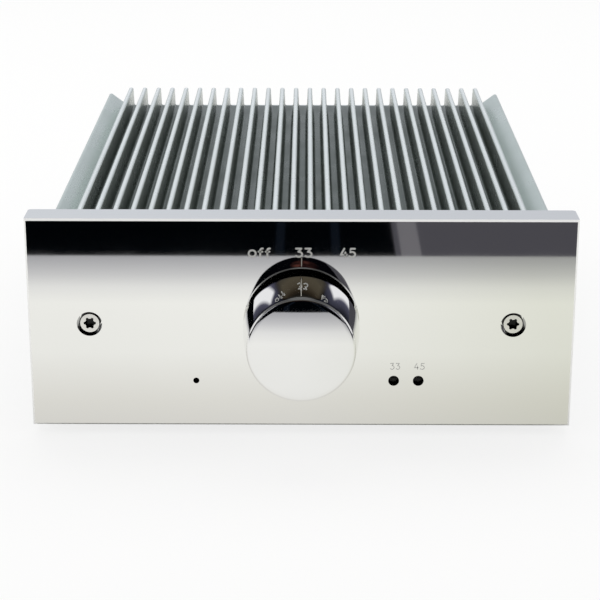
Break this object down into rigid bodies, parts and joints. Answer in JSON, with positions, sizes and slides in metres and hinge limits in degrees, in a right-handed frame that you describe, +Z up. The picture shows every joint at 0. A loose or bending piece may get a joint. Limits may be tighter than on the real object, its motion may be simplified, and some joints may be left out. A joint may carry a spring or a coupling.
{
  "type": "turntable speed controller",
  "caption": "Turntable speed controller with a mirror-polished front panel, rotary selector knob, speed trimmers and lamp, on a case topped by a finned heatsink.",
  "frame": {"origin": "middle of the whole object's footprint, on the ground under the feet", "axes": "+X to the right seen from the front, +Y from the front panel to the rear, +Z up"},
  "size_m": [0.22, 0.2816, 0.092],
  "materials": {
    "mirror_metal": "mirror polish",
    "knob_metal": "mirror polish",
    "heatsink_metal": "fine matt anodised",
    "case_metal": "fine matt anodised",
    "steel": "zinc plated",
    "screw_metal": "bright",
    "brass": "nickel-free",
    "contact_metal": "plated",
    "foot_rubber": "matt",
    "black_plastic": "fine grain",
    "trimmer_plastic": "moulded",
    "rotor_plastic": "moulded",
    "lamp_lens": "clear tinted",
    "circuit_board": "solder mask",
    "transformer_case": "varnished",
    "capacitor_sleeve": "shrink sleeve",
    "film_sleeve": "dipped",
    "silicone_pad": "matt",
    "crystal_can": "plated",
    "fuse_glass": "clear",
    "ribbon_sheath": "flexible",
    "socket_metal": "nickel plated",
    "strap_metal": "tinned copper"
  },
  "bodies": {
    "case": {"amplifier_board": "circuit_board", "amplifier_pillars": "brass", "base_plate": "case_metal", "base_screws": "steel", "board_headers": "black_plastic", "board_screws": "steel", "control_board": "circuit_board", "control_pillars": "brass", "control_ribbon": "ribbon_sheath", "crystal": "crystal_can", "detent_ball": "steel", "detent_spring": "steel", "earth_screw": "steel", "earth_strap": "strap_metal", "feet": "foot_rubber", "film_capacitors": "film_sleeve", "foot_screws": "steel", "front_panel": "mirror_metal", "fuse": "fuse_glass", "fuse_clips": "contact_metal", "heatsink": "heatsink_metal", "heatsink_screws": "steel", "indicator_lamp": "lamp_lens", "inlet_pins": "contact_metal", "inlet_screws": "steel", "lamp_spacer": "black_plastic", "left_wall": "case_metal", "mains_inlet": "black_plastic", "microcontroller": "black_plastic", "motor_socket": "socket_metal", "panel_screws": "screw_metal", "pillar_studs": "steel", "power_board": "circuit_board", "power_pillars": "brass", "rear_panel": "case_metal", "rear_screws": "steel", "rectifier": "black_plastic", "reservoir_capacitors": "capacitor_sleeve", "right_wall": "case_metal", "small_nuts": "steel", "socket_nut": "socket_metal", "socket_pins": "contact_metal", "supply_ribbon": "ribbon_sheath", "switch_cover": "brass", "switch_housing": "black_plastic", "switch_nut": "brass", "switch_terminals": "contact_metal", "switch_washer": "steel", "transformer": "transformer_case", "transistor_pads": "silicone_pad", "transistor_screws": "steel", "transistors": "black_plastic", "trimmer_housing_33": "trimmer_plastic", "trimmer_housing_45": "trimmer_plastic"},
    "selector": {"knob": "knob_metal", "knob_grub_screw": "steel", "switch_spindle": "steel", "switch_rotor": "black_plastic"},
    "trimmer_33": {"trimmer_rotor_33": "rotor_plastic"},
    "trimmer_45": {"trimmer_rotor_45": "rotor_plastic"}
  },
  "joints": [
    {"name": "selector_turn", "type": "hinge", "parent": "case", "child": "selector", "pos_m": [0, -0.11325, 0.0468], "axis": [0, 1, 0], "range_deg": [-36, 36]},
    {"name": "trimmer_33_turn", "type": "hinge", "parent": "case", "child": "trimmer_33", "pos_m": [0.0376, -0.103, 0.0238], "axis": [0, 1, 0], "range_deg": [-135, 135]},
    {"name": "trimmer_45_turn", "type": "hinge", "parent": "case", "child": "trimmer_45", "pos_m": [0.0476, -0.103, 0.0238], "axis": [0, 1, 0], "range_deg": [-135, 135]}
  ]
}
